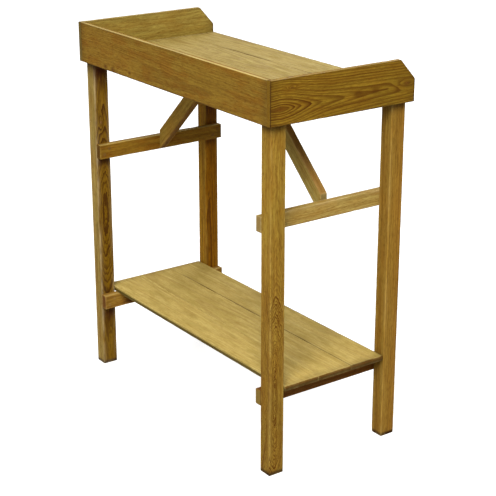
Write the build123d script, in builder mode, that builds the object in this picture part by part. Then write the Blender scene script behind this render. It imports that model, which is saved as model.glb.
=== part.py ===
from build123d import *
import math
import os

os.makedirs("parts", exist_ok=True)

# Potting bench: four legs tied by side rails, a shelf, and a worktop inside a low tray.
# X runs along the length, +Y points to the open working side, Z is up.
# The origin is on the floor under the middle of the bench.

# overall sizes
overall_length = 780.0
overall_depth = 385.0
overall_height = 890.0

# sawn and planed timber sections
board_thickness = 12.0
lath_width = 36.0
lath_thickness = 18.0
leg_width = 34.0
leg_depth = 38.0
arris = 1.2
leg_arris = 1.6

# tray
tray_wall_height = 96.0
tray_inside_height = 66.0
corner_cut_depth = 41.0
corner_cut_height = 45.0
worktop_boards = 4
worktop_gap = 1.0

# leg frames
front_leg_inset = 13.5
upper_rail_bottom = 556.0
lower_rail_bottom = 158.0

# shelf
shelf_boards = 3
shelf_gap = 0.6
shelf_leg_clearance = 2.5

# braces, lying in the middle of the depth
brace_angle = 43.5

# screws and pins
shank_radius = 1.9
head_radius = 3.9
head_rim = 0.4
head_height = 2.4
tip_height = 3.0
screw_fit = 0.05
tip_clearance = 0.4
pin_radius = 1.0
pin_head_radius = 1.8
pin_head_height = 0.9
pin_length = 30.0
short_screw = 25.0
rail_screw = 40.0
brace_screw = 29.0
screw_stagger = 7.0
cleat_screw_height = 6.0
batten_screw_stagger = 7.2
brace_screw_depth = 13.5

# levels and positions worked out from the sizes above
half_length = overall_length / 2
half_depth = overall_depth / 2
tray_bottom = overall_height - tray_wall_height
worktop_top = overall_height - tray_inside_height
worktop_underside = worktop_top - board_thickness
leg_outer_x = half_length - board_thickness
leg_inner_x = leg_outer_x - leg_width
leg_centre_x = leg_outer_x - leg_width / 2
rail_inner_x = leg_inner_x - lath_thickness
back_leg_y = -half_depth + board_thickness + leg_depth / 2
front_leg_y = half_depth - front_leg_inset - leg_depth / 2
rail_length = front_leg_y - back_leg_y + leg_depth
rail_centre_y = (front_leg_y + back_leg_y) / 2
inner_leg_gap = front_leg_y - back_leg_y - leg_depth
lower_rail_top = lower_rail_bottom + lath_width
batten_thickness = worktop_underside - tray_bottom
tray_inside_depth = overall_depth - board_thickness
worktop_board_width = (tray_inside_depth - (worktop_boards - 1) * worktop_gap) / worktop_boards
worktop_pitch = worktop_board_width + worktop_gap
worktop_first_y = -half_depth + board_thickness + worktop_board_width / 2
shelf_space = inner_leg_gap - 2 * shelf_leg_clearance
shelf_board_width = (shelf_space - (shelf_boards - 1) * shelf_gap) / shelf_boards
shelf_pitch = shelf_board_width + shelf_gap
brace_slope = math.tan(math.radians(brace_angle))
brace_end_cut = lath_width / math.cos(math.radians(brace_angle))
brace_top_outer = (tray_bottom - upper_rail_bottom - brace_end_cut) / brace_slope
brace_top_inner = (tray_bottom - upper_rail_bottom) / brace_slope
batten_x = rail_inner_x - (brace_top_outer + brace_top_inner) / 2
cleat_inner_x = leg_outer_x - lath_thickness
cleat_inner_y = -half_depth + board_thickness + lath_thickness


def screw_body(length, ease, top_up):
    """Countersunk screw, head face on the XY plane, point towards -Z."""
    with BuildPart() as body:
        with BuildSketch(Plane.XZ):
            with BuildLine():
                Polyline(
                    (0, top_up),
                    (head_radius + ease, top_up),
                    (head_radius + ease, -head_rim - ease),
                    (shank_radius + ease, -head_height - ease),
                    (shank_radius + ease, -length + tip_height),
                    (0, -length - ease * tip_clearance / screw_fit),
                    close=True,
                )
            make_face()
        revolve(axis=Axis.Z)
    return body.part


def pin_body(ease, top_up):
    """Round pin with a small flat head, head face on the XY plane, point towards -Z."""
    with BuildPart() as body:
        with BuildSketch(Plane.XZ):
            with BuildLine():
                Polyline(
                    (0, top_up),
                    (pin_head_radius + ease, top_up),
                    (pin_head_radius + ease, -pin_head_height - ease),
                    (pin_radius + ease, -pin_head_height - ease),
                    (pin_radius + ease, -pin_length + tip_height),
                    (0, -pin_length - ease * tip_clearance / screw_fit),
                    close=True,
                )
            make_face()
        revolve(axis=Axis.Z)
    return body.part


def aim(x, y, z, out):
    """Place a screw with its head centre at x, y, z and its head facing along out."""
    return Plane(origin=(x, y, z), z_dir=out).location


# one solid for each kind of fastener and one cutter for its hole
short_screw_body = screw_body(short_screw, 0, 0)
short_screw_hole = screw_body(short_screw, screw_fit, tip_clearance)
rail_screw_body = screw_body(rail_screw, 0, 0)
rail_screw_hole = screw_body(rail_screw, screw_fit, tip_clearance)
brace_screw_body = screw_body(brace_screw, 0, 0)
brace_screw_hole = screw_body(brace_screw, screw_fit, tip_clearance)
brace_sink_hole = screw_body(brace_screw, screw_fit, lath_width)
pin_solid = pin_body(0, 0)
pin_hole = pin_body(screw_fit, tip_clearance)


# ---- where the fasteners sit ----

def rail_screw_places(side, rail_bottom):
    """Two staggered screws through a rail into each leg."""
    places = []
    for leg_y in (back_leg_y, front_leg_y):
        for step in (-1, 1):
            y = leg_y + step * screw_stagger
            z = rail_bottom + lath_width / 2 + step * screw_stagger
            places.append(aim(side * rail_inner_x, y, z, (-side, 0, 0)))
    return places


def leg_screw_places(side, leg_y):
    """One screw through the top of a leg into the end panel beside it."""
    z = tray_bottom + batten_thickness / 2
    return [aim(side * leg_inner_x, leg_y, z, (-side, 0, 0))]


cleat_screw_z = tray_bottom + cleat_screw_height
end_cleat_places = {}
end_lift_places = {}
batten_lift_places = {}
back_cleat_places = []
back_lift_places = []
board_lift_places = {}
for number in range(worktop_boards):
    board_lift_places[number] = []
for side in (-1, 1):
    end_cleat_places[side] = []
    end_lift_places[side] = []
    batten_lift_places[side] = []
    for step in (-1, 0, 1):
        y = rail_centre_y + step * inner_leg_gap / 3
        end_cleat_places[side].append(aim(side * cleat_inner_x, y, cleat_screw_z, (-side, 0, 0)))
    for number in range(worktop_boards):
        board_y = worktop_first_y + number * worktop_pitch
        cleat_y = max(rail_centre_y - inner_leg_gap / 2 + lath_thickness, board_y)
        cleat_y = min(rail_centre_y + inner_leg_gap / 2 - lath_thickness, cleat_y)
        x = side * (leg_outer_x - lath_thickness / 2)
        end_lift_places[side].append(aim(x, cleat_y, tray_bottom, (0, 0, -1)))
        board_lift_places[number].append(end_lift_places[side][-1])
        for step in (-1, 1):
            y = board_y + step * worktop_board_width / 4
            if y > cleat_inner_y + lath_thickness / 2:
                x = side * (batten_x + step * batten_screw_stagger)
                batten_lift_places[side].append(aim(x, y, tray_bottom, (0, 0, -1)))
                board_lift_places[number].append(batten_lift_places[side][-1])

back_cleat_length = 2 * leg_inner_x
back_lift_y = cleat_inner_y - lath_thickness / 2
for step in (-1.5, -0.5, 0.5, 1.5):
    x = step * back_cleat_length / 4
    back_cleat_places.append(aim(x, cleat_inner_y, cleat_screw_z, (0, 1, 0)))
    x = x - math.copysign(lath_thickness, step)
    back_lift_places.append(aim(x, back_lift_y, tray_bottom, (0, 0, -1)))
    board_lift_places[0].append(back_lift_places[-1])

# each brace: one screw through the rail into its foot, one up into the batten
brace_foot_places = {}
brace_head_places = {}
brace_foot_z = upper_rail_bottom + lath_width / 2
brace_head_x = rail_inner_x - brace_top_inner + lath_thickness
brace_head_z = tray_bottom - brace_screw_depth
for side in (-1, 1):
    brace_foot_places[side] = [aim(side * leg_inner_x, 0, brace_foot_z, (side, 0, 0))]
    brace_head_places[side] = [aim(side * brace_head_x, 0, brace_head_z, (0, 0, -1))]

shelf_top = lower_rail_top + board_thickness
pin_x = leg_inner_x - lath_thickness / 2
shelf_pin_places = {}
for number in range(shelf_boards):
    shelf_y = rail_centre_y + (number - (shelf_boards - 1) / 2) * shelf_pitch
    shelf_pin_places[number] = []
    for side in (-1, 1):
        for step in (-1, 1):
            y = shelf_y + step * shelf_board_width / 4
            shelf_pin_places[number].append(aim(side * pin_x, y, shelf_top, (0, 0, 1)))


# ---- tray ----

# the back board stands between the end panels
with BuildPart() as back_board:
    with Locations((0, -half_depth + board_thickness / 2, tray_bottom + tray_wall_height / 2)):
        Box(2 * leg_outer_x, board_thickness, tray_wall_height)
    fillet(back_board.edges().filter_by(Axis.X), radius=arris)
    with Locations(*back_cleat_places):
        add(short_screw_hole, mode=Mode.SUBTRACT)
back_board.part.label = "back_board"
export_step(back_board.part, "parts/back_board.step")

# end panels run the full depth and have their front top corner clipped
for side, name in ((-1, "end_panel_left"), (1, "end_panel_right")):
    with BuildPart() as end_panel:
        with BuildSketch(Plane.YZ.offset(side * leg_outer_x)):
            with BuildLine():
                Polyline(
                    (-half_depth, tray_bottom),
                    (half_depth, tray_bottom),
                    (half_depth, overall_height - corner_cut_height),
                    (half_depth - corner_cut_depth, overall_height),
                    (-half_depth, overall_height),
                    close=True,
                )
            make_face()
        extrude(amount=side * board_thickness)
        fillet(end_panel.edges().filter_by(Axis.Y), radius=arris)
        with Locations(*leg_screw_places(side, back_leg_y), *leg_screw_places(side, front_leg_y)):
            add(rail_screw_hole, mode=Mode.SUBTRACT)
        with Locations(*end_cleat_places[side]):
            add(short_screw_hole, mode=Mode.SUBTRACT)
    end_panel.part.label = name
    export_step(end_panel.part, "parts/" + name + ".step")

# worktop boards lie side by side between the end panels
for number in range(worktop_boards):
    board_y = worktop_first_y + number * worktop_pitch
    name = "worktop_board_" + str(number + 1)
    with BuildPart() as worktop_board:
        with Locations((0, board_y, worktop_top - board_thickness / 2)):
            Box(2 * leg_outer_x, worktop_board_width, board_thickness)
        fillet(worktop_board.edges().filter_by(Axis.X), radius=arris)
        with Locations(*board_lift_places[number]):
            add(short_screw_hole, mode=Mode.SUBTRACT)
    worktop_board.part.label = name
    export_step(worktop_board.part, "parts/" + name + ".step")

# cleats inside the tray walls, under the worktop
with BuildPart() as back_cleat:
    with Locations((0, cleat_inner_y - lath_thickness / 2, tray_bottom + batten_thickness / 2)):
        Box(back_cleat_length, lath_thickness, batten_thickness)
    with Locations(*back_cleat_places, *back_lift_places):
        add(short_screw_hole, mode=Mode.SUBTRACT)
back_cleat.part.label = "back_cleat"
export_step(back_cleat.part, "parts/back_cleat.step")

for side, name in ((-1, "end_cleat_left"), (1, "end_cleat_right")):
    with BuildPart() as end_cleat:
        centre_x = side * (leg_outer_x - lath_thickness / 2)
        with Locations((centre_x, rail_centre_y, tray_bottom + batten_thickness / 2)):
            Box(lath_thickness, inner_leg_gap, batten_thickness)
        with Locations(*end_cleat_places[side], *end_lift_places[side]):
            add(short_screw_hole, mode=Mode.SUBTRACT)
    end_cleat.part.label = name
    export_step(end_cleat.part, "parts/" + name + ".step")

# cross battens reach from the back cleat to the front edge of the worktop
batten_length = half_depth - cleat_inner_y
for side, name in ((-1, "worktop_batten_left"), (1, "worktop_batten_right")):
    batten_y = half_depth - batten_length / 2
    with BuildPart() as batten:
        with Locations((side * batten_x, batten_y, tray_bottom + batten_thickness / 2)):
            Box(lath_width, batten_length, batten_thickness)
        fillet(batten.edges().filter_by(Axis.Y).sort_by(Axis.Z)[:2], radius=arris)
        with Locations(*batten_lift_places[side]):
            add(short_screw_hole, mode=Mode.SUBTRACT)
        with Locations(*brace_head_places[side]):
            add(brace_screw_hole, mode=Mode.SUBTRACT)
    batten.part.label = name
    export_step(batten.part, "parts/" + name + ".step")


# ---- leg frames ----

for row_y, row_name in ((back_leg_y, "back"), (front_leg_y, "front")):
    for side, side_name in ((-1, "left"), (1, "right")):
        name = "leg_" + row_name + "_" + side_name
        with BuildPart() as leg:
            with Locations((side * leg_centre_x, row_y, worktop_underside / 2)):
                Box(leg_width, leg_depth, worktop_underside)
            fillet(leg.edges().filter_by(Axis.Z), radius=leg_arris)
            with Locations(*leg_screw_places(side, row_y)):
                add(rail_screw_hole, mode=Mode.SUBTRACT)
            with Locations(*rail_screw_places(side, upper_rail_bottom)):
                add(rail_screw_hole, mode=Mode.SUBTRACT)
            with Locations(*rail_screw_places(side, lower_rail_bottom)):
                add(rail_screw_hole, mode=Mode.SUBTRACT)
        leg.part.label = name
        export_step(leg.part, "parts/" + name + ".step")

# rails are screwed to the inner faces of the legs
for rail_bottom, level_name in ((upper_rail_bottom, "upper"), (lower_rail_bottom, "lower")):
    for side, side_name in ((-1, "left"), (1, "right")):
        name = level_name + "_rail_" + side_name
        centre_x = side * (leg_inner_x - lath_thickness / 2)
        with BuildPart() as rail:
            with Locations((centre_x, rail_centre_y, rail_bottom + lath_width / 2)):
                Box(lath_thickness, rail_length, lath_width)
            fillet(rail.edges().filter_by(Axis.Y), radius=arris)
            with Locations(*rail_screw_places(side, rail_bottom)):
                add(rail_screw_hole, mode=Mode.SUBTRACT)
            if level_name == "upper":
                with Locations(*brace_foot_places[side]):
                    add(rail_screw_hole, mode=Mode.SUBTRACT)
            else:
                for number in range(shelf_boards):
                    with Locations(*shelf_pin_places[number]):
                        add(pin_hole, mode=Mode.SUBTRACT)
        rail.part.label = name
        export_step(rail.part, "parts/" + name + ".step")

# braces: upright cut against the rail, level cut under the batten
for side, name in ((-1, "brace_left"), (1, "brace_right")):
    with BuildPart() as brace:
        with BuildSketch(Plane.XZ.offset(-lath_thickness / 2)):
            with BuildLine():
                Polyline(
                    (side * rail_inner_x, upper_rail_bottom),
                    (side * rail_inner_x, upper_rail_bottom + brace_end_cut),
                    (side * (rail_inner_x - brace_top_outer), tray_bottom),
                    (side * (rail_inner_x - brace_top_inner), tray_bottom),
                    close=True,
                )
            make_face()
        extrude(amount=lath_thickness)
        with Locations(*brace_foot_places[side]):
            add(rail_screw_hole, mode=Mode.SUBTRACT)
        with Locations(*brace_head_places[side]):
            add(brace_sink_hole, mode=Mode.SUBTRACT)
    brace.part.label = name
    export_step(brace.part, "parts/" + name + ".step")


# ---- shelf ----

for number in range(shelf_boards):
    shelf_y = rail_centre_y + (number - (shelf_boards - 1) / 2) * shelf_pitch
    name = "shelf_board_" + str(number + 1)
    with BuildPart() as shelf_board:
        with Locations((0, shelf_y, lower_rail_top + board_thickness / 2)):
            Box(2 * leg_outer_x, shelf_board_width, board_thickness)
        fillet(shelf_board.edges().filter_by(Axis.X), radius=arris)
        with Locations(*shelf_pin_places[number]):
            add(pin_hole, mode=Mode.SUBTRACT)
    shelf_board.part.label = name
    export_step(shelf_board.part, "parts/" + name + ".step")


# ---- fasteners, one node for each kind of joint ----

for rail_bottom, level_name in ((upper_rail_bottom, "upper"), (lower_rail_bottom, "lower")):
    name = level_name + "_rail_screws"
    with BuildPart() as rail_screws:
        with Locations(*rail_screw_places(-1, rail_bottom), *rail_screw_places(1, rail_bottom)):
            add(rail_screw_body)
    rail_screws.part.label = name
    export_step(rail_screws.part, "parts/" + name + ".step")

with BuildPart() as leg_screws:
    for side in (-1, 1):
        with Locations(*leg_screw_places(side, back_leg_y), *leg_screw_places(side, front_leg_y)):
            add(rail_screw_body)
leg_screws.part.label = "leg_screws"
export_step(leg_screws.part, "parts/leg_screws.step")

with BuildPart() as cleat_screws:
    with Locations(*back_cleat_places, *end_cleat_places[-1], *end_cleat_places[1]):
        add(short_screw_body)
cleat_screws.part.label = "cleat_screws"
export_step(cleat_screws.part, "parts/cleat_screws.step")

with BuildPart() as worktop_screws:
    with Locations(*back_lift_places, *end_lift_places[-1], *end_lift_places[1]):
        add(short_screw_body)
    with Locations(*batten_lift_places[-1], *batten_lift_places[1]):
        add(short_screw_body)
worktop_screws.part.label = "worktop_screws"
export_step(worktop_screws.part, "parts/worktop_screws.step")

with BuildPart() as brace_screws:
    with Locations(*brace_foot_places[-1], *brace_foot_places[1]):
        add(rail_screw_body)
    with Locations(*brace_head_places[-1], *brace_head_places[1]):
        add(brace_screw_body)
brace_screws.part.label = "brace_screws"
export_step(brace_screws.part, "parts/brace_screws.step")

with BuildPart() as shelf_pins:
    for number in range(shelf_boards):
        with Locations(*shelf_pin_places[number]):
            add(pin_solid)
shelf_pins.part.label = "shelf_pins"
export_step(shelf_pins.part, "parts/shelf_pins.step")
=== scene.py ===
import math
import bpy
import bmesh
import numpy as np
from mathutils import Matrix, Vector


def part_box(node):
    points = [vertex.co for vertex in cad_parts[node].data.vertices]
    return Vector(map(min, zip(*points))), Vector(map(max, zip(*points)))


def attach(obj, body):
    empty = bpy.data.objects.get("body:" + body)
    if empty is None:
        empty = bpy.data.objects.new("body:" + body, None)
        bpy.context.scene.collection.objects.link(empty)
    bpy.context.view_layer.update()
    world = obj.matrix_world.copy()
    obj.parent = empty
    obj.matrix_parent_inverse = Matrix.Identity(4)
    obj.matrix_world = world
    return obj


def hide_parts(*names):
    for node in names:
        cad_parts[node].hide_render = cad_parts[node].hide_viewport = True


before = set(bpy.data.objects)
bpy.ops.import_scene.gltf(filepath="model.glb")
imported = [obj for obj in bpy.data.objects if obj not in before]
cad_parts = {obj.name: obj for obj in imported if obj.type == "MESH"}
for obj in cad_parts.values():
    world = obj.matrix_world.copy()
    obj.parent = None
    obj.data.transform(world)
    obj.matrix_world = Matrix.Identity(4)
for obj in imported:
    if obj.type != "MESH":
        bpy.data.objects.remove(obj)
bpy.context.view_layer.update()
print("frame loaded")


def paint(red, green, blue):
    # screen colour 0..255 to the linear colour a shader socket wants
    screen = np.array([red, green, blue]) / 255.0
    linear = np.where(screen <= 0.04045, screen / 12.92, ((screen + 0.055) / 1.055) ** 2.4)
    return (*[float(value) for value in linear], 1.0)


def shade(colour, tint):
    return paint(*[min(255, part * factor) for part, factor in zip(colour, tint)])


def setSockets(tree, node, sockets):
    # a socket is linked, any other value is set
    for key, value in sockets.items():
        if isinstance(value, bpy.types.NodeSocket):
            tree.links.new(value, node.inputs[key])
        else:
            node.inputs[key].default_value = value


def addNode(tree, kind, sockets=None, **settings):
    node = tree.nodes.new(kind)
    for key, value in settings.items():
        setattr(node, key, value)
    setSockets(tree, node, sockets or {})
    return node


def calc(tree, operation, *terms):
    return addNode(tree, "ShaderNodeMath", dict(enumerate(terms)), operation=operation).outputs[0]


def product(tree, first, *others):
    total = first
    for factor in others:
        total = calc(tree, "MULTIPLY", total, factor)
    return total


def vectorCalc(tree, operation, *terms):
    return addNode(tree, "ShaderNodeVectorMath", dict(enumerate(terms)), operation=operation).outputs[0]


def spread(tree, vector, factors, shift=(0, 0, 0)):
    # vector * factors + shift
    return vectorCalc(tree, "MULTIPLY_ADD", vector, factors, shift)


def cloud(tree, vector, detail=2.0, roughness=0.5, colour=False):
    sockets = {"Vector": vector, "Scale": 1.0, "Detail": detail, "Roughness": roughness}
    return addNode(tree, "ShaderNodeTexNoise", sockets).outputs[1 if colour else 0]


def remap(tree, value, low, high, toLow=0.0, toHigh=1.0, smooth=True):
    kind = "SMOOTHSTEP" if smooth else "LINEAR"
    sockets = {0: value, 1: low, 2: high, 3: toLow, 4: toHigh}
    return addNode(tree, "ShaderNodeMapRange", sockets, interpolation_type=kind).outputs[0]


def blend(tree, factor, first, second):
    # sockets 0, 6 and 7 of the mix node are its factor and its two colours
    node = addNode(tree, "ShaderNodeMix", data_type="RGBA", clamp_factor=True)
    setSockets(tree, node, {0: factor, 6: first, 7: second})
    return node.outputs[2]


def makeGroup(name, inputs, outputs):
    tree = bpy.data.node_groups.new(name, "ShaderNodeTree")
    for label, kind, value in inputs:
        socket = tree.interface.new_socket(label, in_out="INPUT", socket_type="NodeSocket" + kind)
        if value is not None:
            socket.default_value = value
    for label in outputs:
        tree.interface.new_socket(label, in_out="OUTPUT", socket_type="NodeSocketFloat")
    entry = tree.nodes.new("NodeGroupInput")
    leave = tree.nodes.new("NodeGroupOutput")
    return tree, entry.outputs, leave.inputs


def useGroup(tree, group, sockets):
    node = addNode(tree, "ShaderNodeGroup", node_tree=group)
    setSockets(tree, node, sockets)
    return node.outputs


def makeFigureGroup():
    # year rings: the distance to a pith line that runs along the board and may rise towards its face,
    # divided by the ring width; the fraction of that number is the season within one ring
    tree, ins, outs = makeGroup("pineFigure", [
        ("Vector", "Vector", None), ("Seed", "Vector", (0.0, 0.0, 0.0)), ("Push", "Float", 0.0),
        ("Pith Across", "Float", 0.0), ("Pith Depth", "Float", 0.03),
        ("Drift", "Float", 0.0), ("Lean", "Float", 0.0),
        ("Rise", "Float", 0.0), ("Rise Place", "Float", 0.0), ("Rise Reach", "Float", 0.1),
        ("Ring Width", "Float", 0.004), ("Wobble", "Float", 0.004), ("Curl", "Float", 0.0),
        ("Round", "Float", 2.0), ("Heart Reach", "Float", 0.018)],
        ["Late", "Ring Tone", "Heart", "Arch"])
    axes = addNode(tree, "ShaderNodeSeparateXYZ", {0: ins["Vector"]}).outputs
    # slow and quick waves bend the rings across the board and through it
    slow = cloud(tree, spread(tree, ins["Vector"], (5.0, 22.0, 22.0), ins["Seed"]), 1.0, 0.5, True)
    quick = cloud(tree, spread(tree, ins["Vector"], (28.0, 90.0, 90.0), ins["Seed"]), 2.0, 0.5, True)
    wave = vectorCalc(tree, "MULTIPLY_ADD", quick, (0.35, 0.35, 0.35), slow)
    wave = addNode(tree, "ShaderNodeSeparateXYZ", {0: wave}).outputs
    waveY = product(tree, calc(tree, "SUBTRACT", wave[1], 0.67), ins["Wobble"])
    waveZ = product(tree, calc(tree, "SUBTRACT", wave[2], 0.67), ins["Wobble"])
    # the pith rises under a bell shaped arch, where the rings also curl most
    away = calc(tree, "DIVIDE", calc(tree, "SUBTRACT", axes[0], ins["Rise Place"]), ins["Rise Reach"])
    bell = calc(tree, "EXPONENT", product(tree, away, away, -0.5))
    curl = cloud(tree, spread(tree, ins["Vector"], (95.0, 210.0, 210.0), ins["Seed"]), 1.0)
    curlForce = product(tree, ins["Curl"], calc(tree, "MULTIPLY_ADD", bell, 0.9, 0.1))
    waveZ = calc(tree, "MULTIPLY_ADD", calc(tree, "SUBTRACT", curl, 0.5), curlForce, waveZ)
    pithPlace = calc(tree, "MULTIPLY_ADD", axes[0], ins["Lean"], ins["Pith Across"])
    across = calc(tree, "ADD", calc(tree, "SUBTRACT", axes[1], pithPlace), waveY)
    depth = calc(tree, "MULTIPLY_ADD", axes[0], ins["Drift"], ins["Pith Depth"])
    depth = calc(tree, "SUBTRACT", depth, product(tree, bell, ins["Rise"]))
    depth = calc(tree, "ADD", calc(tree, "ADD", axes[2], depth), waveZ)
    # a Round of 2 gives circular rings, a smaller one points them
    powers = [calc(tree, "POWER", calc(tree, "ABSOLUTE", side), ins["Round"]) for side in (across, depth)]
    radius = calc(tree, "POWER", calc(tree, "ADD", *powers), calc(tree, "DIVIDE", 1.0, ins["Round"]))
    # rings are uneven in width; knots push them along
    steps = calc(tree, "DIVIDE", radius, ins["Ring Width"])
    uneven = addNode(tree, "ShaderNodeCombineXYZ", {0: product(tree, steps, 0.55)}).outputs[0]
    uneven = cloud(tree, spread(tree, uneven, (1.0, 1.0, 1.0), ins["Seed"]), 1.0)
    phase = calc(tree, "ADD", calc(tree, "MULTIPLY_ADD", uneven, 1.5, steps), ins["Push"])
    season = calc(tree, "FRACT", phase)
    darken = remap(tree, season, 0.2, 0.84)
    stop = remap(tree, season, 0.88, 1.0, 1.0, 0.0)
    number = addNode(tree, "ShaderNodeCombineXYZ", {0: calc(tree, "FLOOR", phase), 1: 3.7}).outputs[0]
    number = spread(tree, number, (0.731, 1.0, 1.0), ins["Seed"])
    tree.links.new(product(tree, darken, stop), outs["Late"])
    tree.links.new(remap(tree, cloud(tree, number, 0.0), 0.3, 0.7), outs["Ring Tone"])
    tree.links.new(remap(tree, radius, 0.001, ins["Heart Reach"], 1.0, 0.0), outs["Heart"])
    tree.links.new(remap(tree, bell, 0.06, 0.5), outs["Arch"])
    return tree


def makeFibreGroup():
    # long thin streaks, broad tone along the board, and blotches left by the preservative
    tree, ins, outs = makeGroup("pineFibre", [
        ("Vector", "Vector", None), ("Seed", "Vector", (0.0, 0.0, 0.0))],
        ["Streak", "Fine", "Tone", "Blotch", "Bands", "Fleck"])
    bend = cloud(tree, spread(tree, ins["Vector"], (14.0, 30.0, 30.0), ins["Seed"]), 1.0, 0.5, True)
    bend = spread(tree, bend, (0.0, 0.008, 0.008), (0.0, -0.004, -0.004))
    wavy = vectorCalc(tree, "ADD", ins["Vector"], bend)
    for label, factors, detail, low, high in (
            ("Streak", (9.0, 300.0, 300.0), 3.0, 0.36, 0.66),
            ("Fine", (60.0, 1300.0, 1300.0), 2.0, 0.32, 0.68),
            ("Tone", (3.0, 10.0, 10.0), 2.0, 0.34, 0.66),
            ("Blotch", (16.0, 48.0, 48.0), 4.0, 0.44, 0.64),
            ("Bands", (2.4, 110.0, 110.0), 2.0, 0.34, 0.66),
            ("Fleck", (90.0, 330.0, 330.0), 2.0, 0.48, 0.72)):
        field = cloud(tree, spread(tree, wavy, factors, ins["Seed"]), detail, 0.55)
        tree.links.new(remap(tree, field, low, high), outs[label])
    return tree


def makeKnotGroup():
    # a branch stub running through the board: rings packed round it, fibres pushed aside
    tree, ins, outs = makeGroup("pineKnot", [
        ("Vector", "Vector", None), ("Place", "Vector", (0.0, 0.0, 0.0)), ("Size", "Float", 0.004),
        ("Stretch", "Float", 0.6)],
        ["Core", "Halo", "Push", "Stub Rings"])
    offset = vectorCalc(tree, "SUBTRACT", ins["Vector"], ins["Place"])
    axes = addNode(tree, "ShaderNodeSeparateXYZ", {0: offset}).outputs
    acrossSquared = product(tree, axes[1], axes[1])
    # distance to the stub's axis in stub sizes, made ragged
    ragged = cloud(tree, spread(tree, ins["Vector"], (420.0, 420.0, 60.0)), 2.0)
    along = product(tree, axes[0], ins["Stretch"])
    reach = calc(tree, "SQRT", calc(tree, "MULTIPLY_ADD", along, along, acrossSquared))
    near = calc(tree, "DIVIDE", reach, ins["Size"])
    near = calc(tree, "MULTIPLY_ADD", calc(tree, "SUBTRACT", ragged, 0.5), 0.7, near)
    # the push on the rings falls off as a bell, longer along the board than across it
    slim = product(tree, axes[0], ins["Stretch"], 0.45)
    wide = calc(tree, "SQRT", calc(tree, "MULTIPLY_ADD", slim, slim, acrossSquared))
    bell = calc(tree, "DIVIDE", wide, product(tree, ins["Size"], 2.6))
    bell = calc(tree, "EXPONENT", product(tree, bell, bell, -1.0))
    tree.links.new(remap(tree, near, 0.75, 1.15, 1.0, 0.0), outs["Core"])
    tree.links.new(remap(tree, near, 0.8, 2.8, 1.0, 0.0), outs["Halo"])
    tree.links.new(product(tree, bell, 2.2), outs["Push"])
    tree.links.new(calc(tree, "FRACT", product(tree, near, 3.5)), outs["Stub Rings"])
    return tree


def makeEdgeGroup():
    # rubbed arrises go pale where the fibres are hard, as wear and as a painted highlight, and hold dirt
    # where they are soft
    tree, ins, outs = makeGroup("edgeWearAndHighlight", [
        ("Arris", "Float", 0.0), ("Vector", "Vector", None), ("Seed", "Vector", (0.0, 0.0, 0.0))],
        ["Worn", "Grimy"])
    rubbed = cloud(tree, spread(tree, ins["Vector"], (14.0, 60.0, 60.0), ins["Seed"]), 3.0, 0.6)
    dirty = cloud(tree, spread(tree, ins["Vector"], (6.0, 20.0, 20.0), ins["Seed"]), 2.0)
    tree.links.new(product(tree, ins["Arris"], remap(tree, rubbed, 0.3, 0.7)), outs["Worn"])
    tree.links.new(product(tree, ins["Arris"], remap(tree, dirty, 0.35, 0.6)), outs["Grimy"])
    return tree


figureGroup = makeFigureGroup()
fibreGroup = makeFibreGroup()
knotGroup = makeKnotGroup()
edgeGroup = makeEdgeGroup()
print("shader groups ready")

# what a piece of timber has unless its own dictionary says otherwise; colours are screen colours
plainTimber = dict(
    tint=(1.0, 1.0, 1.0), roughness=0.7, specular=0.06, bumpForce=0.6, bumpDeep=0.0006,
    drift=0.0, lean=0.0, rise=(0.0, 0.0, 0.1), curl=0.001, round=2.0,  # where the pith runs
    fade=0.6, plain=1.0, quietSides=1.0,  # how far the rings fade in patches, off the arch, off the face
    bands=0.45, toneForce=0.4, blotchForce=0.3, streaks=0.3, fine=0.3, flecks=0.35,
    heart=(104, 56, 16), heartForce=0.0, heartReach=0.018,
    knots=(), swirls=(), knotRim=(78, 46, 14), knotHeart=(124, 84, 36),  # along, across, size
    # painted light and shade from here: a shaded face, dirt with painted shade on the sides, a painted top
    # highlight, end stain with painted shade, painted shadows, a painted shadow line, and pale arrises that
    # are wear and a painted highlight
    paintedFaceShading=0.0, darkSides=(0.0, 0.0), sideReach=0.0012, shadeUnderOnly=False,
    paleTopHighlight=0.0, topHighlightTone=(176, 156, 94),
    endStainShade=0.25, endStainShadeReach=0.03, shadeTopOnly=False, endStainShadeTone=(52, 26, 4),
    paintedShadows=(), paintedShadowTone=(62, 25, 6),  # along, reach, force
    endShadowLine=0.0, endShadowLineTone=(48, 22, 2), endCut=(74, 42, 12), shadedUnderCut=(56, 28, 0),
    wearHighlight=0.4, grime=0.0, grimeTone=(64, 38, 12))


def branches(tree, grain, spots):
    # each stub runs straight through the face, so its depth is left out
    stubs = []
    for along, across, size in spots:
        flat = spread(tree, grain, (1.0, 1.0, 0.0))
        stubs.append(useGroup(tree, knotGroup, {"Vector": flat, "Place": (along, across, 0.0), "Size": size}))
    return stubs


def nearFace(tree, look, deep, start, end, least=0.0):
    # 1 on the board's face, falling to least between two depths under it
    face = look["thick"] / 2
    return remap(tree, deep, face - start, face - end, least, 1.0)


def ringForce(tree, look, figure, fibre, deep):
    # rings differ in darkness, fade in patches, and may be quiet off the arch and off the face
    tone = remap(tree, figure["Ring Tone"], 0.0, 1.0, 0.5, 1.0)
    fade = remap(tree, fibre["Tone"], 0.0, 1.0, look["fade"], 1.0)
    force = product(tree, figure["Late"], tone, fade, look["contrast"])
    if look["plain"] < 1:
        force = product(tree, force, remap(tree, figure["Arch"], 0.0, 1.0, look["plain"], 1.0, False))
    if look["quietSides"] < 1:
        force = product(tree, force, nearFace(tree, look, deep, 0.004, 0.001, look["quietSides"]))
    return force


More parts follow.
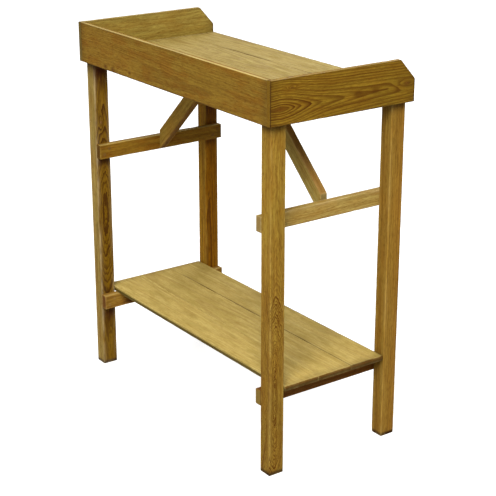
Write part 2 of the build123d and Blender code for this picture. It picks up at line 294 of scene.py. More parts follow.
def cleanWood(tree, look, figure, fibre, swirls, deep):
    # the timber before weather: light wood, bands, patches, heartwood, painted light and shade on one face,
    # then rings and fibres
    tint = look["tint"]
    late = shade(look["late"], tint)
    colour = shade(look["early"], tint)
    for mask, force, tone in (
            (fibre["Bands"], "bands", "band"), (fibre["Tone"], "toneForce", "tone"),
            (fibre["Blotch"], "blotchForce", "blotch"), (figure["Heart"], "heartForce", "heart")):
        colour = blend(tree, product(tree, mask, look[force]), colour, shade(look[tone], tint))
    # one face painted in its own tone: painted shade where that face lies in shade, a paler painted light
    # where it faces the light
    if look["paintedFaceShading"] > 0:
        patchy = calc(tree, "MULTIPLY_ADD", fibre["Bands"], -0.15, 1.0)
        mask = product(tree, nearFace(tree, look, deep, 0.003, 0.0004), patchy, look["paintedFaceShading"])
        colour = blend(tree, mask, colour, paint(*look["faceShadingTone"]))
    for swirl in swirls:
        colour = blend(tree, product(tree, swirl["Halo"], 0.6), colour, late)
    colour = blend(tree, ringForce(tree, look, figure, fibre, deep), colour, late)
    for label, force in (("Streak", "streaks"), ("Fine", "fine"), ("Fleck", "flecks")):
        colour = blend(tree, product(tree, fibre[label], look[force]), colour, late)
    return colour


def soiledShadedSides(tree, look, colour, over, deep):
    # dirt and painted shade along the low and the high side, and a painted highlight on the outer half of the
    # top side
    half = look["wide"] / 2
    for sign, force in zip((-1.0, 1.0), look["darkSides"]):
        if force > 0:
            fromSide = calc(tree, "MULTIPLY_ADD", over, -sign, half)
            mask = product(tree, remap(tree, fromSide, 0.0003, look["sideReach"], 1.0, 0.0), force)
            # here the painted shade keeps to the lower part of the side
            if look["shadeUnderOnly"]:
                mask = product(tree, mask, remap(tree, deep, 0.0005, 0.0035, 1.0, 0.0))
            colour = blend(tree, mask, colour, paint(*look["sideDirtShadeTone"]))
    # painted highlight on the top side
    topHighlightMask = product(tree, remap(tree, over, half - 0.0012, half - 0.0003), remap(tree, deep, -0.002, 0.002))
    return blend(tree, product(tree, topHighlightMask, look["paleTopHighlight"]), colour, paint(*look["topHighlightTone"]))


def soiledShadedEnds(tree, look, colour, along, deep, fibre, endFace):
    # stain creeping in from the ends, with painted shade where a top end sits under other pieces; painted
    # shadows under other pieces; a painted shadow line near the ends; and the sawn end, painted darker
    # underneath as shade
    half = look["long"] / 2
    nearEnd = calc(tree, "SUBTRACT", half, calc(tree, "ABSOLUTE", along))
    fromTop = calc(tree, "SUBTRACT", half, along) if look["shadeTopOnly"] else nearEnd
    # darker towards the ends: end grain stain, and painted shade at a shaded top end
    stain = product(tree, remap(tree, fromTop, 0.0, look["endStainShadeReach"], 1.0, 0.0), look["endStainShade"])
    colour = blend(tree, stain, colour, paint(*look["endStainShadeTone"]))
    # painted shadows cast by other pieces, on the board's face
    for place, reach, force in look["paintedShadows"]:
        away = calc(tree, "ABSOLUTE", calc(tree, "SUBTRACT", along, place))
        away = calc(tree, "MULTIPLY_ADD", fibre["Streak"], reach * 0.4, away)
        mask = product(tree, remap(tree, away, 0.0, reach, 1.0, 0.0), force,
                       nearFace(tree, look, deep, 0.005, 0.001))
        colour = blend(tree, mask, colour, paint(*look["paintedShadowTone"]))
    # a painted shadow line just short of each end
    if look["endShadowLine"] > 0:
        mask = remap(tree, nearEnd, look["endShadowLine"] * 0.3, look["endShadowLine"], 1.0, 0.0)
        mask = product(tree, mask, calc(tree, "SUBTRACT", 1.0, endFace))
        colour = blend(tree, mask, colour, paint(*look["endShadowLineTone"]))
    cut = shade(look["endCut"], look["tint"])
    # painted shade on the lower part of the sawn end
    if look["shadeUnderOnly"]:
        cut = blend(tree, remap(tree, deep, -0.001, 0.003), paint(*look["shadedUnderCut"]), cut)
    return blend(tree, product(tree, endFace, 0.85), colour, cut)


def timberMaterial(name, look, place, turn):
    # place is the middle of the board; turn lays the pattern's x along it and its z through its face
    material = bpy.data.materials.new(name + "Pine")
    material.use_nodes = True
    tree = material.node_tree
    shader = tree.nodes["Principled BSDF"]
    tint = look["tint"]
    seed = (look["seed"] * 1.37, look["seed"] * 2.11 + 5.0, look["seed"] * 0.73 + 9.0)
    spot = addNode(tree, "ShaderNodeTexCoord").outputs["Object"]
    grain = addNode(tree, "ShaderNodeMapping", {"Vector": spot, "Location": place, "Rotation": turn},
                    vector_type="TEXTURE").outputs[0]
    along, over, deep = addNode(tree, "ShaderNodeSeparateXYZ", {0: grain}).outputs
    arris = addNode(tree, "ShaderNodeAttribute", attribute_name="arris").outputs["Fac"]
    endFace = addNode(tree, "ShaderNodeAttribute", attribute_name="endFace").outputs["Fac"]
    knots = branches(tree, grain, look["knots"])
    swirls = branches(tree, grain, look["swirls"])
    push = 0.0
    for knot in knots:
        push = calc(tree, "ADD", knot["Push"], push)
    for swirl in swirls:
        push = calc(tree, "MULTIPLY_ADD", swirl["Push"], 0.25, push)
    pithAcross, pithDepth = look["pith"]
    rise, risePlace, riseReach = look["rise"]
    figure = useGroup(tree, figureGroup, {
        "Vector": grain, "Seed": seed, "Push": push,
        "Pith Across": pithAcross, "Pith Depth": pithDepth - look["thick"] / 2,
        "Drift": look["drift"], "Lean": look["lean"],
        "Rise": rise, "Rise Place": risePlace, "Rise Reach": riseReach,
        "Ring Width": look["ring"], "Wobble": look["wobble"], "Curl": look["curl"],
        "Round": look["round"], "Heart Reach": look["heartReach"]})
    fibre = useGroup(tree, fibreGroup, {"Vector": grain, "Seed": seed})
    edge = useGroup(tree, edgeGroup, {"Arris": arris, "Vector": grain, "Seed": seed})

    colour = cleanWood(tree, look, figure, fibre, swirls, deep)
    height = calc(tree, "MULTIPLY_ADD", figure["Late"], 0.6, product(tree, fibre["Streak"], -0.5))
    height = calc(tree, "MULTIPLY_ADD", fibre["Fine"], -0.25, height)
    rim = shade(look["knotRim"], tint)
    for knot in knots:
        colour = blend(tree, product(tree, knot["Halo"], 0.5), colour, rim)
        stub = blend(tree, knot["Stub Rings"], shade(look["knotHeart"], tint), rim)
        colour = blend(tree, knot["Core"], colour, stub)
        height = calc(tree, "MULTIPLY_ADD", knot["Core"], 0.8, height)
    colour = soiledShadedSides(tree, look, colour, over, deep)
    colour = soiledShadedEnds(tree, look, colour, along, deep, fibre, endFace)
    # pale arrises are wear and a painted highlight; dark arrises are dirt
    colour = blend(tree, product(tree, edge["Worn"], look["wearHighlight"]), colour, shade(look["wornHighlightTone"], tint))
    colour = blend(tree, product(tree, edge["Grimy"], look["grime"]), colour, paint(*look["grimeTone"]))
    tree.links.new(colour, shader.inputs["Base Color"])
    rough = calc(tree, "MULTIPLY_ADD", fibre["Streak"], 0.14, look["roughness"])
    rough = calc(tree, "MULTIPLY_ADD", figure["Late"], -0.08, rough)
    tree.links.new(rough, shader.inputs["Roughness"])
    relief = {"Height": height, "Strength": look["bumpForce"], "Distance": look["bumpDeep"]}
    bump = addNode(tree, "ShaderNodeBump", relief)
    tree.links.new(bump.outputs[0], shader.inputs["Normal"])
    shader.inputs["Specular IOR Level"].default_value = look["specular"]
    return material


def ripple(x, y, z, seed, pitch):
    # smooth noise: a sum of six sines in seeded directions, about -1..1
    draw = np.random.default_rng(seed)
    total = np.zeros(np.broadcast(x, y, z).shape)
    for _ in range(6):
        direction = draw.normal(size=3)
        direction = direction / np.linalg.norm(direction) * 2 * math.pi / (pitch * draw.uniform(0.7, 1.6))
        wave = x * direction[0] + y * direction[1] + z * direction[2]
        total = total + np.sin(wave + draw.uniform(0, 6.283))
    return total / 3.2


def flatStops(half, radius, step):
    # places along one flat side, closer together near its two arrises
    rim, margin = 0.0012, 0.0035
    inner = half - radius
    count = max(1, int(round((2 * inner - 2 * margin) / step)))
    middle = np.linspace(-inner + margin, inner - margin, count + 1)
    return np.concatenate(([-inner, -inner + rim], middle, [inner - rim]))


def timberLoop(width, thick, radius, step):
    # rounded rectangle round the board: place, outward normal and distance to an arris of each point
    turns = np.linspace(0, math.pi / 2, 5)[:-1]
    bend = np.column_stack((np.sin(turns), -np.cos(turns)))
    places, normals, gaps = [], [], []
    for quarter in range(4):
        reach, lift = (width / 2, thick / 2) if quarter % 2 == 0 else (thick / 2, width / 2)
        stops = flatStops(reach, radius, step)
        angle = math.pi / 2 * quarter
        turn = np.array([[math.cos(angle), math.sin(angle)], [-math.sin(angle), math.cos(angle)]])
        flat = np.column_stack((stops, np.full(len(stops), -lift)))
        down = np.column_stack((np.zeros(len(stops)), -np.ones(len(stops))))
        corner = np.array([reach - radius, -lift + radius]) + radius * bend
        places.append(np.vstack((flat, corner)) @ turn)
        normals.append(np.vstack((down, bend)) @ turn)
        gaps.append(np.concatenate((reach - radius - np.abs(stops), np.zeros(len(corner)))))
    return np.vstack(places), np.vstack(normals), np.concatenate(gaps)


def timberSurface(length, width, thick, shape):
    # the loop is carried along the board; at each end it rounds over and shrinks onto the middle line
    # of the cut, by one minus its inset divided by half the nearer side
    radius, endRadius = shape["arris"], shape["endArris"]
    loop, normal, gap = timberLoop(width, thick, radius, shape["step"])
    halfLong = length / 2
    nearSide = min(width, thick) / 2
    bodyInset = 0.01  # even rows stop here, then two closer ones lead up to each end
    count = int(round((length - 2 * bodyInset) / shape["stride"]))
    body = np.linspace(-halfLong + bodyInset, halfLong - bodyInset, count + 1)
    nearEnd = np.array([halfLong - 0.005, halfLong - 0.002])
    body = np.concatenate((-nearEnd[::-1], body, nearEnd))
    turn = np.linspace(0, math.pi / 2, 4)
    capInset = endRadius + (nearSide - endRadius) * np.array([0.12, 0.3, 0.55, 0.8, 1.0])
    endAlong = np.concatenate((halfLong - endRadius + endRadius * np.sin(turn), np.full(5, halfLong)))
    endInset = np.concatenate((endRadius * (1 - np.cos(turn)), capInset))
    along = np.concatenate((-endAlong[::-1], body, endAlong))
    inset = np.concatenate((endInset[::-1], np.zeros(len(body)), endInset))
    middle = np.zeros_like(loop)
    longer = 0 if width >= thick else 1
    span = max(width, thick) / 2 - nearSide
    middle[:, longer] = np.clip(loop[:, longer], -span, span)
    keep = 1 - inset / nearSide
    x = np.repeat(along[:, None], len(loop), axis=1)
    y = middle[None, :, 0] + (loop[None, :, 0] - middle[None, :, 0]) * keep[:, None]
    z = middle[None, :, 1] + (loop[None, :, 1] - middle[None, :, 1]) * keep[:, None]
    onEnd = np.clip((np.abs(along) - halfLong + endRadius * 0.3) / (endRadius * 0.3), 0, 1)[:, None]
    # relief: gentle hollows and rubbed arrises, always inward
    seed = shape["seed"]
    swell = shape["swell"] * (ripple(x * 0.35, y, z, seed, shape["swellPitch"]) - 2)
    rubbed = ripple(x, y * 0.2, z * 0.2, seed + 1, shape["rubPitch"])
    rub = shape["rub"] * np.clip(rubbed + 0.1, 0, None) ** 1.5
    rub = rub * np.exp(-gap / shape["rubFall"])[None, :]
    push = (swell - rub) * (1 - onEnd)
    y = y + push * normal[None, :, 0]
    z = z + push * normal[None, :, 1]
    # closeness to an arris, 1 on it and falling off exponentially; the end faces have their own
    endGap = np.where(onEnd > 0.5, inset[:, None] - endRadius, halfLong - endRadius - np.abs(x))
    nearest = np.minimum(np.maximum(endGap, 0), np.where(onEnd > 0.5, 1.0, gap[None, :]))
    return x, y, z, np.exp(-nearest / shape["rubReach"]), np.repeat(onEnd, len(loop), axis=1)


def ringQuads(rows, columns):
    # quads between neighbouring rows of points, closed round each row
    start = np.arange(rows - 1)[:, None] * columns
    column = np.arange(columns)[None, :]
    first = (start + column).ravel()
    after = (start + (column + 1) % columns).ravel()
    return np.column_stack((first, first + columns, after + columns, after))


def makePiece(name, points, faces, attributes=None, weld=0.0):
    mesh = bpy.data.meshes.new(name)
    mesh.from_pydata(points.tolist(), [], faces)
    for label, values in (attributes or {}).items():
        layer = mesh.attributes.new(label, "FLOAT", "POINT")
        layer.data.foreach_set("value", values.ravel().astype(np.float32))
    work = bmesh.new()
    work.from_mesh(mesh)
    if weld > 0:
        bmesh.ops.remove_doubles(work, verts=work.verts, dist=weld)
    bmesh.ops.recalc_face_normals(work, faces=work.faces)
    work.to_mesh(mesh)
    work.free()
    piece = bpy.data.objects.new(name, mesh)
    bpy.context.scene.collection.objects.link(piece)
    return piece


axisVectors = {"X": (1, 0, 0), "Y": (0, 1, 0), "Z": (0, 0, 1), "-Y": (0, -1, 0), "-Z": (0, 0, -1)}
plainShape = dict(arris=0.0014, endArris=0.0008, step=0.003, stride=0.004, swell=0.00004, swellPitch=0.07,
                  rub=0.00025, rubPitch=0.03, rubFall=0.0016, rubReach=0.0018)


def placeTimber(node, grid, look, centre, axes):
    # grid holds the surface along, across and through the board from its centre, then its two masks
    run, across, face = axes
    x, y, z, edge, onEnd = grid
    points = centre + x[..., None] * run + y[..., None] * across + z[..., None] * face
    piece = makePiece(node + "_timber", points.reshape(-1, 3), ringQuads(*x.shape).tolist(),
                      {"arris": edge, "endFace": onEnd}, 2e-6)
    piece.data.shade_smooth()
    turn = tuple(Matrix([list(map(float, axis)) for axis in axes]).transposed().to_euler())
    look = dict(plainTimber, **look)
    piece.data.materials.append(timberMaterial(node, look, tuple(map(float, centre)), turn))
    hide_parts(node)
    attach(piece, "root")


def makeBoard(node, look):
    # one piece of timber filling its CAD node's box
    low, high = (np.array(corner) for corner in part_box(node))
    run = np.array(axisVectors[look["run"]], float)
    face = np.array(axisVectors[look["face"]], float)
    across = np.cross(face, run)
    length, width, thick = (float(abs((high - low) @ axis)) for axis in (run, across, face))
    shape = dict(plainShape, seed=look["seed"], **look["shape"])
    x, y, z, edge, onEnd = timberSurface(length, width, thick, shape)
    if "clip" in look:
        # the front top corner is sawn off; the points behind it close up over the last stretch
        cutLong, cutHigh = look["clip"]
        closeUp = 0.12
        lost = np.clip(y - (width / 2 - cutHigh), 0, None) * cutLong / cutHigh
        x = x - lost * np.clip((x - (length / 2 - closeUp)) / closeUp, 0, 1)
    placeTimber(node, (x, y, z, edge, onEnd), dict(look, thick=thick, wide=width, long=length),
                (low + high) / 2, (run, across, face))


# weathered, pressure treated pine: screen colours of the light wood, its bands, patches and dark rings
pineTones = dict(early=(152, 119, 50), band=(124, 86, 22), tone=(136, 114, 48), blotch=(138, 92, 28),
                 late=(82, 46, 4), wornHighlightTone=(176, 148, 88))

trayShape = dict(arris=0.0009, endArris=0.0006)
# the tray walls get painted highlights on their top edges, painted shade along the bottom of the back board
# and the right panel, and painted shadow lines near the panels' ends
trayLooks = {
    "back_board": dict(
        run="X", face="-Y", seed=3, tint=(0.97, 0.96, 0.81),
        pith=(-0.02, 0.05), drift=0.02, ring=0.0034, wobble=0.007, curl=0.002, contrast=0.35, fade=0.4,
        streaks=0.24, bands=0.3, blotchForce=0.55, flecks=0.4, paleTopHighlight=0.85, darkSides=(0.6, 0.0),
        knots=((-0.265, -0.04, 0.0028), (-0.23, -0.042, 0.0034), (-0.155, -0.036, 0.002))),
    "end_panel_right": dict(
        run="Y", face="X", seed=8, tint=(1.0, 1.0, 0.64), clip=(0.041, 0.045),
        pith=(-0.011, 0.031), drift=0.03, lean=0.012, rise=(0.03, -0.2, 0.066), round=1.45,
        ring=0.005, wobble=0.0025, contrast=1.2, fade=0.9, streaks=0.35,
        heart=(92, 44, 10), heartForce=0.75, heartReach=0.008,
        endCut=(112, 82, 32), endShadowLine=0.0034, paleTopHighlight=0.3, darkSides=(0.6, 0.0),
        knots=((0.1695, -0.005, 0.0036), (-0.1375, 0.028, 0.0014)),
        swirls=((0.0355, -0.01, 0.004), (0.0825, -0.009, 0.0036))),
    "end_panel_left": dict(
        run="Y", face="X", seed=12, tint=(1.1, 1.23, 1.4), clip=(0.041, 0.045),
        pith=(0.02, 0.07), drift=0.05, ring=0.005, wobble=0.006, contrast=0.35, streaks=0.3,
        endCut=(90, 66, 26), endShadowLine=0.0034, paleTopHighlight=0.3),
}
for node, look in trayLooks.items():
    makeBoard(node, dict(pineTones, slot="wall_timber", shape=trayShape, wearHighlight=0.1, grime=0.45,
                         sideDirtShadeTone=(60, 36, 6), sideReach=0.003, **look))
print("tray walls made")

# worktop and shelf boards are paler straw wood with dirt held in the joints
strawTones = dict(early=(190, 163, 98), band=(164, 132, 64), tone=(178, 153, 90), blotch=(152, 128, 64),
                  late=(118, 80, 22), wornHighlightTone=(200, 176, 118), knotRim=(96, 54, 14), knotHeart=(136, 86, 32))
worktopLook = dict(strawTones, run="X", face="Z", slot="worktop_timber", tint=(0.88, 0.92, 0.91),
                   ring=0.0055, wobble=0.008, contrast=0.4, streaks=0.26, fine=0.28, blotchForce=0.5,
                   flecks=0.25, wearHighlight=0.2, darkSides=(0.45, 0.45), sideDirtShadeTone=(104, 70, 24),
                   shape=dict(arris=0.0006, endArris=0.0008))
worktopBoards = {
    "worktop_board_1": dict(seed=21, pith=(0.02, 0.05), drift=0.03),
    "worktop_board_2": dict(seed=22, pith=(-0.03, 0.04), drift=-0.02),
    "worktop_board_3": dict(seed=23, pith=(0.0, 0.05), drift=0.05),
    "worktop_board_4": dict(seed=24, pith=(0.03, 0.05), drift=0.02, grime=0.9),  # open front edge
}
for node, look in worktopBoards.items():
    makeBoard(node, dict(worktopLook, **look))
print("worktop made")

battenLook = dict(pineTones, face="-Z", slot="batten_timber", tint=(1.08, 1.1, 1.15),
                  ring=0.004, wobble=0.004, contrast=0.5,
                  shape=dict(arris=0.001, endArris=0.0006, stride=0.006))
battens = {
    "back_cleat": dict(run="X", seed=31, pith=(0.02, 0.03)),
    "end_cleat_left": dict(run="Y", seed=32, pith=(0.03, 0.02)),
    "end_cleat_right": dict(run="Y", seed=33, pith=(-0.02, 0.03)),
    "worktop_batten_left": dict(run="Y", seed=34, pith=(0.0, 0.05), drift=0.02),
    "worktop_batten_right": dict(run="Y", seed=35, pith=(0.01, 0.04), drift=-0.03),
}
for node, look in battens.items():
    makeBoard(node, dict(battenLook, **look))
print("battens made")

# legs: painted shade at the top under the tray and a painted shadow line near each end
legLook = dict(pineTones, run="Z", face="X", slot="leg_timber", streaks=0.35,
               endStainShade=0.95, endStainShadeReach=0.05, shadeTopOnly=True, endShadowLine=0.012,
               shape=dict(arris=0.0016, endArris=0.0009, rubReach=0.003))
legs = {
    "leg_back_right": dict(
        seed=41, tint=(1.13, 1.16, 1.05), pith=(0.005, 0.062), rise=(0.059, -0.22, 0.17), round=1.5,
        ring=0.002, wobble=0.005, curl=0.006, contrast=1.5, fade=0.8, plain=0.14, flecks=0.5, wearHighlight=0.28),
    "leg_front_right": dict(
        seed=42, tint=(1.01, 1.01, 0.94), pith=(-0.02, 0.008), drift=0.006, ring=0.005, wobble=0.004,
        contrast=0.35, heart=(140, 82, 18), heartForce=0.7, heartReach=0.03,
        # a paler tone painted on its lit +X face as painted light
        paintedFaceShading=0.4, faceShadingTone=(190, 143, 52)),
    "leg_back_left": dict(
        seed=43, tint=(1.19, 1.28, 1.6), late=(62, 34, 2), pith=(0.0, 0.04), rise=(0.03, 0.0, 0.13),
        ring=0.003, wobble=0.006, curl=0.004, contrast=1.3, quietSides=0.3, fade=0.8,
        # painted shade on its shaded inner +X face; painted shadows below the lower rail, at the upper rail
        # and under the tray
        paintedFaceShading=0.97, faceShadingTone=(126, 90, 0), endStainShadeReach=0.07,
        paintedShadows=((-0.266, 0.035, 0.95), (0.14, 0.025, 0.8), (0.368, 0.07, 1.0)),
        knots=((0.239, 0.004, 0.0022),),
        swirls=((-0.098, -0.004, 0.002), (-0.282, 0.002, 0.0026), (-0.321, -0.003, 0.002))),
    "leg_front_left": dict(
        seed=44, tint=(1.21, 1.15, 0.74), late=(58, 28, 2), pith=(0.01, 0.02), drift=0.012,
        # painted shade on its shaded inner +X face; painted shadows at the upper rail and above it
        ring=0.004, wobble=0.005, contrast=0.8, paintedFaceShading=0.9, faceShadingTone=(157, 98, 0), endStainShadeReach=0.07,
        paintedShadows=((0.235, 0.1, 1.0), (0.14, 0.025, 0.7))),
}
for node, look in legs.items():
    makeBoard(node, dict(legLook, **look))
print("legs made")

railLook = dict(pineTones, run="Y", face="X", slot="lath_timber", ring=0.0032, wobble=0.005, contrast=0.4,
                endCut=(112, 84, 38), shape=dict(arris=0.0012, endArris=0.0008, step=0.0025))
rails = {
    "upper_rail_right": dict(seed=51, tint=(1.24, 1.36, 1.74), pith=(0.02, 0.05)),
    "upper_rail_left": dict(seed=52, tint=(1.02, 0.98, 0.69), pith=(-0.01, 0.04), endCut=(78, 52, 18),
                            # a painted highlight on its top side
                            blotchForce=0.6, paleTopHighlight=0.6),
    # its darker tint is painted shade under the shelf
    "lower_rail_right": dict(seed=53, tint=(0.8, 0.66, 0.5), pith=(0.01, 0.06), endCut=(165, 165, 100)),
    "lower_rail_left": dict(seed=54, tint=(1.12, 1.08, 1.0), pith=(0.0, 0.05), endCut=(84, 50, 18),
                            # a painted shadow of the shelf on its face and a painted highlight on its top
                            # side
                            paintedShadows=((-0.1, 0.055, 0.95),), paleTopHighlight=0.4),
}
for node, look in rails.items():
    makeBoard(node, dict(railLook, **look))
print("rails made")

# shelf boards: painted shade on the lower part of the sides and of the sawn ends
shelfLook = dict(worktopLook, slot="shelf_timber", tint=(1.02, 1.05, 1.0), contrast=0.3, streaks=0.15,
                 fine=0.22, endCut=(90, 48, 0), shadeUnderOnly=True)
shelfBoards = {
    "shelf_board_1": dict(seed=61, pith=(0.01, 0.04), drift=0.04,
                          # painted shade on the lower part of the front side, and dirt with painted shade at
                          # the joint
                          darkSides=(0.9, 0.3), sideDirtShadeTone=(70, 56, 16)),
    "shelf_board_2": dict(seed=62, pith=(-0.02, 0.05), drift=-0.03),
    "shelf_board_3": dict(seed=63, pith=(0.03, 0.05), drift=0.02, grime=0.8),
}
for node, look in shelfBoards.items():
    makeBoard(node, dict(shelfLook, **look))
print("shelf made")


def makeBrace(node, look):
    # a lath leaning from the rail up to the batten, foot cut upright and head cut level
    low, high = (np.array(corner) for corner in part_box(node))
    lean = 1.0 if low[0] < 0 else -1.0
    footX = low[0] if lean > 0 else high[0]
    rise, reach = high[2] - low[2], high[0] - low[0]
    length = math.hypot(reach, rise)
    run = np.array([lean * reach, 0, rise]) / length
    face = np.array([0.0, -1.0, 0.0])
    across = np.cross(face, run)
    width, thick = look["width"], float(high[1] - low[1])
    lowerSide = -width / 2 if across[2] > 0 else width / 2
    start = np.array([footX, (low[1] + high[1]) / 2, low[2]]) - lowerSide * across
    shape = dict(plainShape, seed=look["seed"], **look["shape"])
    x, y, z, edge, onEnd = timberSurface(length, width, thick, shape)
    # each line along the lath runs from the upright cut to the level cut
    footLong = (footX - start[0] - y * across[0]) / run[0]
    headLong = (high[2] - start[2] - y * across[2]) / run[2]
    x = footLong + (x / length + 0.5) * (headLong - footLong) - length / 2
    placeTimber(node, (x, y, z, edge, onEnd), dict(look, thick=thick, wide=width, long=length),
                start + run * length / 2, (run, across, face))


# braces: painted shade over the head end under the tray; dirt and painted shade along the lower side
braceLook = dict(railLook, width=0.036, endStainShade=0.85, endStainShadeReach=0.14, shadeTopOnly=True,
                 darkSides=(0.6, 0.0), sideDirtShadeTone=(92, 54, 14), sideReach=0.004, wornHighlightTone=(168, 126, 62))
braces = {
    "brace_left": dict(seed=71, tint=(1.2, 1.26, 1.3), pith=(0.0, 0.05), darkSides=(0.75, 0.0)),
    "brace_right": dict(seed=72, tint=(1.2, 1.36, 1.75), pith=(0.01, 0.04), sideDirtShadeTone=(132, 80, 30)),
}
for node, look in braces.items():
    makeBrace(node, dict(braceLook, **look))
print("braces made")


def steelMaterial(name, look):
    # each side of the bench has its own head colour: painted light and shade to match the timber round the
    # heads
    material = bpy.data.materials.new(name)
    material.use_nodes = True
    tree = material.node_tree
    shader = tree.nodes["Principled BSDF"]
    place = addNode(tree, "ShaderNodeTexCoord").outputs["Object"]
    patch = remap(tree, cloud(tree, spread(tree, place, (260, 260, 260)), 3.0), 0.35, 0.65)
    scratch = remap(tree, cloud(tree, spread(tree, place, (2400, 700, 1500)), 2.0), 0.3, 0.7)
    side = addNode(tree, "ShaderNodeSeparateXYZ", {0: place}).outputs[0]
    colour = blend(tree, remap(tree, side, -0.01, 0.01), paint(*look["left"]), paint(*look["right"]))
    colour = blend(tree, product(tree, patch, 0.3), colour, paint(*look["dull"]))
    tree.links.new(colour, shader.inputs["Base Color"])
    rough = calc(tree, "MULTIPLY_ADD", scratch, 0.25, look["roughness"])
    tree.links.new(rough, shader.inputs["Roughness"])
    bump = addNode(tree, "ShaderNodeBump", {"Height": scratch, "Strength": 0.3, "Distance": 0.0001})
    tree.links.new(bump.outputs[0], shader.inputs["Normal"])
    shader.inputs["Metallic"].default_value = look["metal"]
    shader.inputs["Specular IOR Level"].default_value = look["specular"]
    return material


def fastenerPlaces(node):
    # the solids of a CAD fastener node: head centre, direction towards the head, and length of each
    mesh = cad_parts[node].data
    corners = np.empty(len(mesh.vertices) * 3)
    mesh.vertices.foreach_get("co", corners)
    corners = corners.reshape(-1, 3)
    _, same = np.unique(np.round(corners, 6), axis=0, return_inverse=True)
    same = same.ravel()
    loops = np.empty(len(mesh.loops), int)
    mesh.loops.foreach_get("vertex_index", loops)
    triangles = same[loops.reshape(-1, 3)]
    # joined triangles take the lowest label among them until nothing changes
    label = np.arange(same.max() + 1)
    while True:
        lowest = label[triangles].min(axis=1)
        fresh = label.copy()
        for column in range(3):
            np.minimum.at(fresh, triangles[:, column], lowest)
        if np.array_equal(fresh, label):
            break
        label = fresh
    places = []
    rimDeep = 0.0002
    for value in np.unique(label):
        solid = corners[label[same] == value]
        low, high = solid.min(axis=0), solid.max(axis=0)
        axis = int(np.argmax(high - low))
        others = [index for index in range(3) if index != axis]
        centre = (low + high) / 2
        lowRim = solid[solid[:, axis] < low[axis] + rimDeep][:, others]
        highRim = solid[solid[:, axis] > high[axis] - rimDeep][:, others]
        lowWide, highWide = (np.abs(rim - centre[others]).max() for rim in (lowRim, highRim))
        out = np.zeros(3)
        out[axis] = 1.0 if highWide > lowWide else -1.0
        head = centre.copy()
        head[axis] = high[axis] if highWide > lowWide else low[axis]
        places.append((head, out, float(high[axis] - low[axis])))
    return places


def fastenerMesh(name, places, look):
    # each one: a head with a pressed cross, turned down to a tapering shank; rings round the axis
    turns = np.linspace(0, 2 * math.pi, look["sides"], endpoint=False)
    capRings = look["capRings"]
    sideRadii, sideDrops = np.array(look["profile"]).T
    capRadii = np.linspace(0.0, 1.0, capRings + 1)[1:] * look["headRadius"]
    radii = np.concatenate((capRadii, sideRadii, [sideRadii[-1], look["tipRadius"]]))
    flatX = radii[:, None] * np.cos(turns)
    flatY = radii[:, None] * np.sin(turns)
    onHead = np.arange(len(radii))[:, None] < capRings
    inCross = np.minimum(np.abs(flatX), np.abs(flatY)) < look["slotHalf"]
    inCross = inCross & (np.maximum(np.abs(flatX), np.abs(flatY)) < look["slotReach"])
    rows, columns = flatX.shape
    ring = np.arange(columns)
    near = (ring + 1) % columns
    last = (rows - 1) * columns
    headFan = np.column_stack((np.full(columns, rows * columns), ring, near))
    tipFan = np.column_stack((np.full(columns, rows * columns + 1), last + near, last + ring))
    faces = np.array(ringQuads(rows, columns))
    allPoints, allFaces, base = [], [], 0
    for index, (head, out, length) in enumerate(places):
        side = np.array([0.0, 0.0, 1.0]) if abs(out[2]) < 0.5 else np.array([1.0, 0.0, 0.0])
        other = np.cross(out, side)
        tipDrops = [-length + look["taper"], -length + look["point"]]
        drops = np.concatenate((np.zeros(capRings), sideDrops, tipDrops))[:, None]
        drops = np.where(onHead & inCross, drops - look["slotDeep"], drops) + look["proud"]
        spin = index * look["spin"]  # no two crosses stand alike
        turnX = flatX * math.cos(spin) - flatY * math.sin(spin)
        turnY = flatX * math.sin(spin) + flatY * math.cos(spin)
        points = head + turnX[..., None] * side + turnY[..., None] * other + drops[..., None] * out
        middle = head + out * (look["proud"] - look["slotDeep"])
        allPoints += [points.reshape(-1, 3), middle[None], (head - out * length)[None]]
        for part in (faces, headFan, tipFan):
            allFaces += (part + base).tolist()
        base += rows * columns + 2
    return makePiece(name, np.vstack(allPoints), allFaces)


# profile: radius and drop below the head's face, down to the shank
steelLook = dict(capRings=8, tipRadius=0.0002, taper=0.003, point=0.00005, spin=1.3, specular=0.15)
# left and right head colours: darker as painted shade, paler as painted light
screwLook = dict(steelLook, sides=24, headRadius=0.0036, proud=0.0002,
                 slotHalf=0.00045, slotReach=0.0022, slotDeep=0.0011,
                 profile=((0.0039, -0.0001), (0.0039, -0.0004), (0.0019, -0.0024), (0.0019, -0.01)),
                 left=(122, 90, 40), right=(150, 118, 60), dull=(92, 66, 26), roughness=0.7, metal=0.0)
pinLook = dict(steelLook, sides=14, headRadius=0.0016, proud=0.0001,
               slotHalf=0.0, slotReach=0.0, slotDeep=0.0,
               profile=((0.0018, -0.00005), (0.0018, -0.0008), (0.001, -0.0009), (0.001, -0.01)),
               left=(178, 154, 92), right=(178, 154, 92), dull=(150, 122, 66), roughness=0.6, metal=0.2)
fasteners = {
    # upper rails: painted shade on the left heads; lower rails: painted shadow on the right heads under the
    # shelf
    "upper_rail_screws": dict(screwLook, left=(116, 82, 32), right=(164, 134, 70)),
    "lower_rail_screws": dict(screwLook, left=(146, 110, 52), right=(96, 62, 22)),
    "leg_screws": screwLook,
    "cleat_screws": screwLook,
    "worktop_screws": screwLook,
    "brace_screws": dict(screwLook, right=(158, 128, 66)),
    "shelf_pins": pinLook,
}
for node, look in fasteners.items():
    piece = fastenerMesh(node + "_steel", fastenerPlaces(node), look)
    piece.data.materials.append(steelMaterial(node + "Steel", look))
    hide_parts(node)
    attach(piece, "root")
print("screws and pins made")

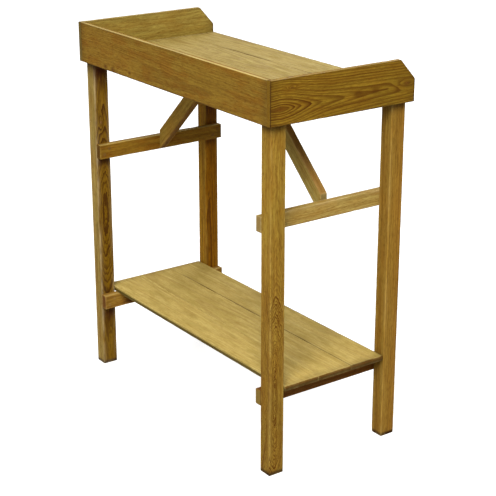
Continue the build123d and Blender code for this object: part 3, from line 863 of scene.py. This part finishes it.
# the floor glows for the camera only, so it stays white without lighting the bench from below
floorLook = dict(reach=14.0, dark=0.42, light=0.45, glow=0.85, roughness=0.9, specular=0.1)
reach = floorLook["reach"]
floorMesh = bpy.data.meshes.new("studioFloor")
floorMesh.from_pydata([(-reach, -reach, 0), (reach, -reach, 0), (reach, reach, 0), (-reach, reach, 0)], [],
                      [(0, 1, 2, 3)])
floor = bpy.data.objects.new("studioFloor", floorMesh)
bpy.context.scene.collection.objects.link(floor)
floorPaint = bpy.data.materials.new("floorPaint")
floorPaint.use_nodes = True
floorTree = floorPaint.node_tree
floorShader = floorTree.nodes["Principled BSDF"]
speck = addNode(floorTree, "ShaderNodeTexCoord").outputs["Object"]
speck = cloud(floorTree, spread(floorTree, speck, (3, 3, 3)), 4.0)
floorColour = blend(floorTree, speck, (*[floorLook["dark"]] * 3, 1), (*[floorLook["light"]] * 3, 1))
floorTree.links.new(floorColour, floorShader.inputs["Base Color"])
floorShader.inputs["Roughness"].default_value = floorLook["roughness"]
floorShader.inputs["Specular IOR Level"].default_value = floorLook["specular"]
floorShader.inputs["Emission Color"].default_value = (1.0, 1.0, 1.0, 1.0)
seen = addNode(floorTree, "ShaderNodeLightPath").outputs["Is Camera Ray"]
floorTree.links.new(product(floorTree, seen, floorLook["glow"]), floorShader.inputs["Emission Strength"])
floorMesh.materials.append(floorPaint)

worldLook = dict(glow=0.3, backdrop=1.6)
world = bpy.data.worlds.new("studioWorld")
world.use_nodes = True
worldTree = world.node_tree
glow = worldTree.nodes["Background"]
glow.inputs[0].default_value = (1.0, 1.0, 1.0, 1.0)
seen = addNode(worldTree, "ShaderNodeLightPath").outputs["Is Camera Ray"]
worldTree.links.new(remap(worldTree, seen, 0.0, 1.0, worldLook["glow"], worldLook["backdrop"], False),
                    glow.inputs[1])
bpy.context.scene.world = world
bpy.context.scene.view_settings.view_transform = "Standard"

lightLooks = {
    "overheadSoft": dict(place=(0.6, -0.6, 6.0), aim=(0, 0, 0.5), size=3.0, power=163),
    "keySoft": dict(place=(3.2, -3.3, 4.6), aim=(0, 0, 0.4), size=3.0, power=474),
    "rearSoft": dict(place=(-3.2, 3.6, 3.4), aim=(0, 0, 0.5), size=2.6, power=125),
}
for name, look in lightLooks.items():
    lamp = bpy.data.lights.new(name, "AREA")
    lamp.size = look["size"]
    lamp.energy = look["power"]
    holder = bpy.data.objects.new(name, lamp)
    holder.location = look["place"]
    toward = Vector(look["aim"]) - Vector(look["place"])
    holder.rotation_euler = toward.to_track_quat("-Z", "Y").to_euler()
    bpy.context.scene.collection.objects.link(holder)

cameraLook = dict(place=(2.523, -1.769, 1.505), heading=54.48, dip=18.96,
                  lens=99.6, sensor=36.0, shiftY=-0.05)
cameraData = bpy.data.cameras.new("benchCamera")
cameraData.lens = cameraLook["lens"]
cameraData.sensor_width = cameraLook["sensor"]
cameraData.shift_y = cameraLook["shiftY"]
camera = bpy.data.objects.new("benchCamera", cameraData)
camera.location = cameraLook["place"]
camera.rotation_euler = (math.radians(90 - cameraLook["dip"]), 0, math.radians(cameraLook["heading"]))
bpy.context.scene.collection.objects.link(camera)
bpy.context.scene.camera = camera
print("floor, light and camera set")
